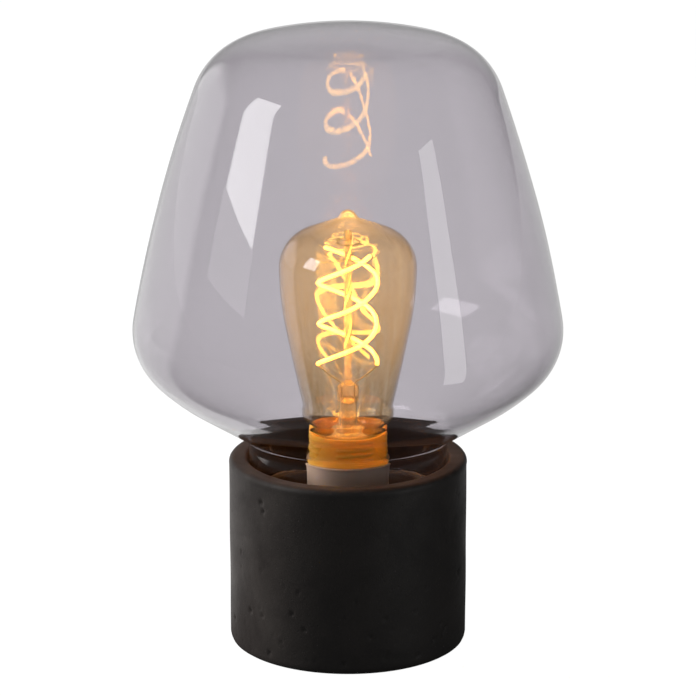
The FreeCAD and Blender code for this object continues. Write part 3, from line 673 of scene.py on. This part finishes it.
class LAMP_OT_bulb(Operator):
    """Make the bulb: lustred glass, stem with its pinch, supports, leads and the lit double spiral"""
    bl_idname = "lamp.bulb"
    bl_label = "Bulb"

    def execute(self, context):
        sizes = context.scene.lamp_bulb
        section = bulb_section(*BULB_BOX)
        glass = shell_of_glass("lustred_bulb", section, sizes.wall, sizes.around)
        dress(glass, amber_glass(sizes.amber))
        place_piece(glass, "bulb", "amber_glass", "bulb_glass")
        self.make_stem()
        self.make_filament(sizes)
        self.make_supports(sizes)
        self.make_leads()
        return {"FINISHED"}

    def make_stem(self):
        """Stem as rings that turn from round to flat: ring i is (a cos t, b sin t, z)."""
        stations = np.array([
            # half width, half depth, height
            (0.0105, 0.0105, 0.0950), (0.0103, 0.0103, 0.0958), (0.0075, 0.0075, 0.0985),
            (0.0052, 0.0052, 0.1020), (0.0043, 0.0043, 0.1060), (0.0042, 0.0042, 0.1130),
            (0.0044, 0.0038, 0.1155), (0.0050, 0.0024, 0.1175), (0.0052, 0.0021, 0.1195),
            (0.0052, 0.0021, 0.1220), (0.0047, 0.0022, 0.1238), (0.0030, 0.0021, 0.1248),
            (0.0019, 0.0018, 0.1262), (0.0017, 0.0017, 0.1300), (0.0017, 0.0017, 0.1930),
            (0.0019, 0.0019, 0.1938), (0.0018, 0.0018, 0.1947), (0.0010, 0.0010, 0.1950)])
        around = 40
        line = curve_points(stations, step=0.0008)
        angle = TAU * np.arange(around) / around
        rings = np.stack([line[:, :1] * np.cos(angle), line[:, 1:2] * np.sin(angle),
                          np.repeat(line[:, 2:], around, axis=1)], -1)
        stem = ringed_surface("pinched_stem", rings, start=(0, 0, line[0, 2]), end=(0, 0, line[-1, 2]))
        dress(stem, stem_glass())
        place_piece(stem, "bulb", "stem_glass", "bulb_stem")

    def make_filament(self, sizes):
        """Two strands half a turn apart: (R cos a, R sin a, low + pitch a / 2 pi)."""
        turn = np.linspace(0, sizes.spiral_run / sizes.spiral_pitch * TAU, 180)
        strands = []
        for number, offset in enumerate((0.0, math.pi)):
            wobble = 0.0004 * np.sin(3.1 * turn + number * 1.7)
            radius = sizes.spiral_radius + wobble
            line = np.stack([radius * np.cos(turn + offset), radius * np.sin(turn + offset),
                             sizes.spiral_low + sizes.spiral_pitch * turn / TAU], -1)
            strands.append(swept_tube("strand", line, sizes.strand_radius, around=12))
        filament = joined("lit_spiral", strands)
        dress(filament, lit_strand(sizes.glow, sizes.power))
        place_piece(filament, "bulb", "led_strand", "filament")

    def make_supports(self, sizes):
        """Star of bent wires from the rod out to the strands, and the ring on top."""
        wires = []
        spokes = 6
        ring_radius = 0.0056
        ring_height = 0.193
        for number in range(spokes):
            angle = math.radians(360 / spokes * number + 20)
            out = np.array([math.cos(angle), math.sin(angle), 0])
            reach = sizes.spiral_radius - 0.0006
            corners = [out * 0.0008 + UP * 0.1842, out * reach * 0.5 + UP * 0.1840,
                       out * reach + UP * 0.1846, out * (reach + 0.0004) + UP * 0.1858]
            wires.append(swept_tube("spoke", curve_points(corners, 0.0008), 0.0002, around=8))
        angle = np.linspace(0, TAU, 64)
        ring = np.stack([ring_radius * np.cos(angle), ring_radius * np.sin(angle),
                         np.full_like(angle, ring_height)], -1)
        wires.append(swept_tube("ring", ring, 0.00025, around=8))
        for side in (-1, 1):
            stay = [(0, 0, 0.1915), (side * 0.003, 0, 0.1922), (side * ring_radius, 0, ring_height)]
            wires.append(swept_tube("stay", curve_points(stay, 0.0006), 0.0002, around=8))
        supports = joined("filament_hooks", wires)
        dress(supports, metal("nickel_wire", (0.72, 0.66, 0.56), 0.2, (0.5, 0.44, 0.36)))
        place_piece(supports, "bulb", "nickel_plate", "filament_support")

    def make_leads(self):
        """Two leads: up through the pinch, out in a soft bend and on to the spiral's lower ends."""
        leads = []
        for side in (-1, 1):
            corners = [(side * 0.003, 0, 0.099), (side * 0.003, 0, 0.112), (side * 0.003, 0, 0.1235),
                       (side * 0.0045, 0, 0.1262), (side * 0.0095, 0, 0.1300),
                       (side * 0.0134, 0, 0.1336)]
            leads.append(swept_tube("lead", curve_points(corners, 0.0009), 0.0003, around=10))
        wires = joined("bent_leads", leads)
        dress(wires, metal("lead_wire", (0.75, 0.68, 0.55), 0.25, (0.5, 0.42, 0.3)))
        place_piece(wires, "bulb", "nickel_plate", "lead_wires")


class LAMP_OT_cup(Operator):
    """Cast the cement cup with its pores, soft edges, ledge and cable hole"""
    bl_idname = "lamp.cup"
    bl_label = "Cement cup"

    def execute(self, context):
        sizes = context.scene.lamp_cup
        finish = cast_cement(sizes.dark, sizes.light)
        low, high = CUP_BOX
        foot = low[2]
        top = high[2]
        radius = high[0]
        foot_round = 0.003
        rim_round = 0.0025
        mouth = 0.0475
        mouth_round = 0.0012
        ledge = 0.070
        cavity = 0.0430
        floor = 0.026
        stem_hole = 0.0053
        nut_pocket = 0.030
        nut_ceiling = 0.016
        pad_recess = 0.0510
        pad_ceiling = 0.0025
        corners = [
            ("line", pad_recess, foot), ("line", radius - foot_round, foot),
            ("smooth", radius, foot + foot_round), ("line", radius, top - rim_round),
            ("smooth", radius - rim_round, top), ("line", mouth + mouth_round, top),
            ("smooth", mouth, top - mouth_round), ("line", mouth, ledge), ("line", cavity, ledge),
            ("line", cavity, floor), ("line", stem_hole, floor), ("line", stem_hole, nut_ceiling),
            ("line", nut_pocket, nut_ceiling), ("line", nut_pocket, pad_ceiling),
            ("line", pad_recess, pad_ceiling)]
        section = outline(corners, step=0.00115)
        rings = turned_rings(section, sizes.around)
        rings = self.cast_surface(rings, section, sizes, foot, top)
        cup = ringed_surface("cast_cup", rings, closed=True)
        self.drill(cup)
        dress(cup, finish)
        place_piece(cup, "base", "concrete", "concrete_base")
        return {"FINISHED"}

    def cast_surface(self, rings, section, sizes, foot, top):
        """Press pores into the outer wall.

        Each pore is a round dish d exp(-(q / s)^4) of depth d at the distance q from its middle,
        measured along the wall, and the sum moves each point of the outer skin towards the axis.
        The whole skin stands 0.12 mm in, so that its slow waves stay inside the true radius.
        """
        rng = np.random.default_rng(11)
        count = sizes.pores
        angle = rng.uniform(0, TAU, count)
        # More pores stay low down in the mould, where air is trapped
        height = foot + 0.004 + (top - foot - 0.01) * rng.uniform(0, 1, count) ** 1.5
        # Most pores are small and a few are wide
        size = 0.00032 + 0.0009 * rng.uniform(0, 1, count) ** 5
        depth = np.minimum(sizes.pore_depth, size * 0.8)
        wall_radius = 0.056
        outer = (section[:, 0] > wall_radius - 0.0005) & (section[:, 1] < top - 0.003)
        skin = rings[outer]
        radius = np.hypot(skin[..., 0], skin[..., 1])
        where = np.arctan2(skin[..., 1], skin[..., 0])
        sunk = np.zeros_like(radius)
        for number in range(count):
            turn = (where - angle[number] + math.pi) % TAU - math.pi
            across = turn * wall_radius
            up = skin[..., 2] - height[number]
            sunk += depth[number] * np.exp(-((across ** 2 + up ** 2) / size[number] ** 2) ** 2)
        swing = 0.00006
        waves = swing * (np.sin(5 * where + 60 * skin[..., 2]) + np.sin(9 * where - 150 * skin[..., 2]))
        factor = (radius - sunk - 2 * swing + waves) / radius
        skin[..., 0] *= factor
        skin[..., 1] *= factor
        rings[outer] = skin
        return rings

    def drill(self, cup):
        """Cut the stepped cable hole at the back: a drill from the cavity out, a wider one from the seat."""
        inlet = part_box("cable_bushing")
        height = (inlet[0][2] + inlet[1][2]) / 2
        flange = (inlet[1][2] - inlet[0][2]) / 2
        hole = 0.0060
        inside = 0.027
        seat = 0.0545
        outside = 0.075
        for radius, start in ((hole, inside), (flange + 0.0001, seat)):
            line = np.array([(0, start, height), (0, 0.045 + start / 2, height), (0, outside, height)])
            drill = swept_tube("drill", line, radius, around=48)
            cut = cup.modifiers.new("drill", "BOOLEAN")
            cut.operation = "DIFFERENCE"
            cut.solver = "EXACT"
            cut.object = drill
            shape = bpy.data.meshes.new_from_object(cup.evaluated_get(
                bpy.context.evaluated_depsgraph_get()))
            cup.modifiers.clear()
            cup.data = shape
            bpy.data.objects.remove(drill)


class LAMP_OT_holder(Operator):
    """Mould the lampholder's sleeve and give its domed cap the same finish"""
    bl_idname = "lamp.holder"
    bl_label = "Lampholder"
    barrel = 0.0193

    def execute(self, context):
        sizes = context.scene.lamp_holder
        finish = moulded_plastic(sizes.colour, sizes.painted_mouth_light)
        low, high = SLEEVE_BOX
        bore = 0.0174
        barrel = self.barrel
        collar = 0.0196
        neck = 0.0183
        thread = 0.01805
        corners = [
            ("line", bore, low[2]), ("line", barrel - 0.0004, low[2]), ("smooth", barrel, low[2] + 0.0004),
            ("line", barrel, 0.0882), ("smooth", collar, 0.0886), ("line", collar, 0.0896),
            ("smooth", 0.0192, 0.0900), ("line", 0.0184, 0.0900), ("line", neck, 0.0904),
            ("line", neck, 0.0914), ("line", thread, 0.0917), ("line", thread, high[2] - 0.0004),
            ("smooth", 0.01775, high[2]), ("line", bore + 0.0002, high[2]),
            ("line", bore, high[2] - 0.0003), ("line", bore, low[2])]
        section = outline(corners, step=0.00022)[:-1]
        mouth = high[2]

        def ridges(angle, height):
            """Ring thread in four sectors: a rounded ridge where height meets its helix."""
            start = mouth - 0.0078
            half_width = 0.0008
            sectors = 4
            rise = (height - start) / sizes.ridge_pitch - angle / TAU
            near = np.abs(rise - np.round(rise)) * sizes.ridge_pitch
            ridge = np.clip(1 - (near / half_width) ** 2, 0, 1) ** 0.6
            inside = (height > start - 0.0006) & (height < mouth - 0.0009)
            sector = np.clip((np.cos(sectors * (angle - math.radians(12))) + 0.55) * 3, 0, 1)
            return sizes.ridge_height * ridge * sector * inside

        rings = turned_rings(section, sizes.around)
        outer = section[:, 0] > 0.0179
        radius = np.hypot(rings[..., 0], rings[..., 1])
        angle = np.broadcast_to(TAU * np.arange(sizes.around) / sizes.around, radius.shape)
        grown = np.where(outer[:, None], ridges(angle, rings[..., 2]), 0)
        factor = (radius + grown - self.seam(angle, rings[..., 2], outer)) / radius
        rings[..., 0] *= factor
        rings[..., 1] *= factor
        sleeve = ringed_surface("moulded_sleeve", rings, closed=True)
        dress(sleeve, finish)
        place_piece(sleeve, "base", "holder_white", "holder_sleeve")
        finish_node("holder_cap", finish)
        return {"FINISHED"}

    def seam(self, angle, height, outer):
        """Mould seam down the front and back of the barrel, a groove 0.12 mm deep."""
        off = np.minimum(np.abs(angle - math.radians(268)), np.abs(angle - math.radians(88))) * self.barrel
        return 0.00012 * np.exp(-(off / 0.00028) ** 2) * outer[:, None] * (height < 0.0885)


class LAMP_OT_fittings(Operator):
    """Finish the metal, rubber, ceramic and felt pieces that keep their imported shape"""
    bl_idname = "lamp.fittings"
    bl_label = "Fittings"

    def execute(self, context):
        brass = metal("brass", (0.74, 0.55, 0.27), 0.28, (0.45, 0.31, 0.14))
        zinc = metal("zinc_plate", (0.62, 0.62, 0.63), 0.25, (0.42, 0.42, 0.44))
        nickel = metal("nickel_plate", (0.66, 0.62, 0.56), 0.18, (0.45, 0.41, 0.35))
        shell = metal("tarnished_shell", (0.78, 0.62, 0.36), 0.2, (0.5, 0.36, 0.18), scale=240.0)
        rubber = coated("black_rubber", (0.016, 0.016, 0.016), (0.026, 0.026, 0.026), 0.6, 300.0)
        block = coated("glazed_block", (0.76, 0.74, 0.68), (0.66, 0.63, 0.57), 0.15, 150.0, 0.05)
        black = coated("insulating_glass", (0.012, 0.012, 0.014), (0.03, 0.03, 0.035), 0.1, 200.0, 0.05)
        board = coated("board_laminate", (0.02, 0.12, 0.05), (0.03, 0.16, 0.07), 0.35, 400.0)
        finishes = {
            "base_pad": pressed_felt(),
            "shade_seat_ring": clear_silicone(),
            "cable_bushing": rubber, "contact_block": block, "bulb_insulator": black,
            "driver_board": board,
            "bulb_contact": metal("solder", (0.55, 0.55, 0.55), 0.4, (0.35, 0.35, 0.36)),
            "bulb_cap": shell, "screw_shell": nickel, "spacer_tube": brass, "centre_contact": brass,
            "side_contact": brass, "terminal_clamps": brass, "terminal_screws": zinc, "nipple": zinc,
            "floor_washer": zinc, "upper_washer": zinc, "floor_nut": zinc, "upper_nut": zinc,
            "cap_lock_screw": zinc,
        }
        for name, finish in finishes.items():
            finish_node(name, finish)
        return {"FINISHED"}


class LAMP_OT_stage(Operator):
    """Set out the pale floor, the soft lamps, the surroundings and the camera"""
    bl_idname = "lamp.stage"
    bl_label = "Stage"

    def execute(self, context):
        scene = context.scene
        sizes = scene.lamp_stage
        scene.view_settings.view_transform = "Standard"
        scene.view_settings.look = "None"
        self.make_surroundings(scene)
        if sizes.show_floor:
            self.make_floor()
        self.make_lamps()
        self.make_camera(scene, sizes)
        return {"FINISHED"}

    def make_surroundings(self, scene):
        """White to the eye, straight or through glass. In reflections: a sweep, a grey wall, dim elsewhere.

        The sweep is behind and to the left. It comes up where the direction's share along its middle
        passes its edge and fades above its top. The wall stands straight behind.
        """
        world = bpy.data.worlds.new("studio")
        world.use_nodes = True
        studio = NodeSet(world.node_tree)
        direction = studio.node("TexCoord").outputs["Generated"]
        part = studio.parts(direction)
        below_top = studio.graded(part["Z"], 0.55, 0.30)
        sweep = studio.math("MULTIPLY", studio.graded(studio.along_sweep(direction), *SWEEP_EDGE), below_top)
        wall = studio.graded(part["Y"], 0.80, 0.95, DIM, 0.42)
        strength = studio.math("MAXIMUM", studio.math("MAXIMUM", sweep, wall), studio.seen_plain())
        background = studio.nodes["Background"]
        background.inputs["Color"].default_value = (1.0, 1.0, 1.0, 1.0)
        studio.links.new(strength, background.inputs["Strength"])
        scene.world = world

    def make_floor(self):
        """Round pale floor, far wider than the lamp: rings of radius r at height zero.

        It shines evenly white to the eye, straight or through glass. In reflections it is bright on
        the side of the sweep, grey behind the lamp and dim in front.
        """
        radius = np.array([0.001, 0.2, 1.0, 6.0, 40.0])
        rings = turned_rings(np.stack([radius, np.zeros_like(radius)], -1), 96)[::-1]
        floor = ringed_surface("pale_floor", rings, end=(0, 0, 0))
        finish = Finish("floor_paper").set(Roughness=0.9, Specular_IOR_Level=0.1,
                                           Emission_Color=(1.0, 1.0, 1.0))
        finish.drive("Base_Color", finish.blended(finish.noise(3.0), (0.03, 0.03, 0.03), (0.04, 0.04, 0.04)))
        outward = finish.node("VectorMath", [(0, finish.place)], operation="NORMALIZE").outputs[0]
        beside = finish.graded(finish.along_sweep(outward), *SWEEP_EDGE, DIM, 0.78)
        behind = finish.graded(finish.parts(outward)["Y"], 0.50, 0.90, 2 * DIM, 0.62)
        mirrored = finish.math("MAXIMUM", beside, behind)
        finish.drive("Emission_Strength", finish.math("MAXIMUM", finish.seen_plain(), mirrored))
        dress(floor, finish)

    def lamp(self, name, azimuth, distance, low, high, width, radiance):
        """Upright soft box, in metres: azimuth is its turn from the front to the right, in degrees."""
        light = bpy.data.lights.new(name, "AREA")
        light.shape = "RECTANGLE"
        light.size = width
        light.size_y = high - low
        light.energy = radiance * math.pi * width * (high - low)
        lamp = bpy.data.objects.new(name, light)
        turn = math.radians(azimuth)
        lamp.location = (distance * math.sin(turn), -distance * math.cos(turn), (low + high) / 2)
        lamp.rotation_euler = (math.pi / 2, 0.0, turn)
        lamp.visible_camera = False
        lamp.visible_transmission = False
        bpy.context.scene.collection.objects.link(lamp)
        return lamp

    def make_lamps(self):
        """Soft box on the left with its skirt, card on the right, left rear lamp and the spiral's glow.

        The left rear lamp lights matt surfaces only. The point light stands for the lit spiral.
        """
        self.lamp("left_box", -70.0, 1.5, 0.53, 1.42, 0.69, 4.6).visible_transmission = True
        self.lamp("left_skirt", -70.0, 1.5, 0.34, 0.53, 0.75, 1.0)
        self.lamp("right_card", 52.0, 0.5, 0.005, 0.42, 0.100, 3.0)
        self.lamp("left_rear", -108.0, 1.5, 0.25, 1.05, 0.80, 50.0).visible_glossy = False
        light = bpy.data.lights.new("spiral_glow", "POINT")
        light.energy = 0.9
        light.color = (1.0, 0.42, 0.10)
        light.shadow_soft_size = 0.010
        glow = bpy.data.objects.new("spiral_glow", light)
        glow.location = (0.0, 0.0, 0.155)
        glow.visible_camera = False
        glow.visible_glossy = False
        glow.visible_transmission = False
        bpy.context.scene.collection.objects.link(glow)

    def make_camera(self, scene, sizes):
        """Camera in front, looking level along +Y and pitched down."""
        data = bpy.data.cameras.new("camera")
        data.lens = sizes.lens
        data.sensor_width = 36.0
        data.clip_end = 100.0
        camera = bpy.data.objects.new("camera", data)
        camera.location = (0.0, -sizes.camera_back, sizes.camera_height)
        camera.rotation_euler = (math.pi / 2 - sizes.camera_pitch, 0.0, 0.0)
        scene.collection.objects.link(camera)
        scene.camera = camera


class LAMP_PT_panel(Panel):
    """Lists every step of the lamp"""
    bl_label = "Table Lamp"
    bl_idname = "LAMP_PT_panel"
    bl_space_type = "VIEW_3D"
    bl_region_type = "UI"
    bl_category = "Table Lamp"

    def draw(self, context):
        for step in STEPS:
            self.layout.operator(step)
        for group in GROUPS:
            sizes = getattr(context.scene, group)
            for name in sizes.__annotations__:
                self.layout.prop(sizes, name)


STEPS = ("lamp.shade", "lamp.bulb", "lamp.cup", "lamp.holder", "lamp.fittings", "lamp.stage")
GROUPS = {"lamp_shade": ShadeSizes, "lamp_bulb": BulbSizes, "lamp_cup": CupSizes,
          "lamp_holder": HolderSizes, "lamp_stage": StageSizes}
CLASSES = (LAMP_OT_shade, LAMP_OT_bulb, LAMP_OT_cup, LAMP_OT_holder, LAMP_OT_fittings,
           LAMP_OT_stage, LAMP_PT_panel)


def register():
    for name, group in GROUPS.items():
        bpy.utils.register_class(group)
        setattr(bpy.types.Scene, name, PointerProperty(type=group))
    for kind in CLASSES:
        bpy.utils.register_class(kind)


def unregister():
    for kind in reversed(CLASSES):
        bpy.utils.unregister_class(kind)
    for name, group in GROUPS.items():
        delattr(bpy.types.Scene, name)
        bpy.utils.unregister_class(group)


def main():
    """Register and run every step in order."""
    register()
    for step in STEPS:
        family, action = step.split(".")
        getattr(getattr(bpy.ops, family), action)()


if __name__ == "__main__":
    main()
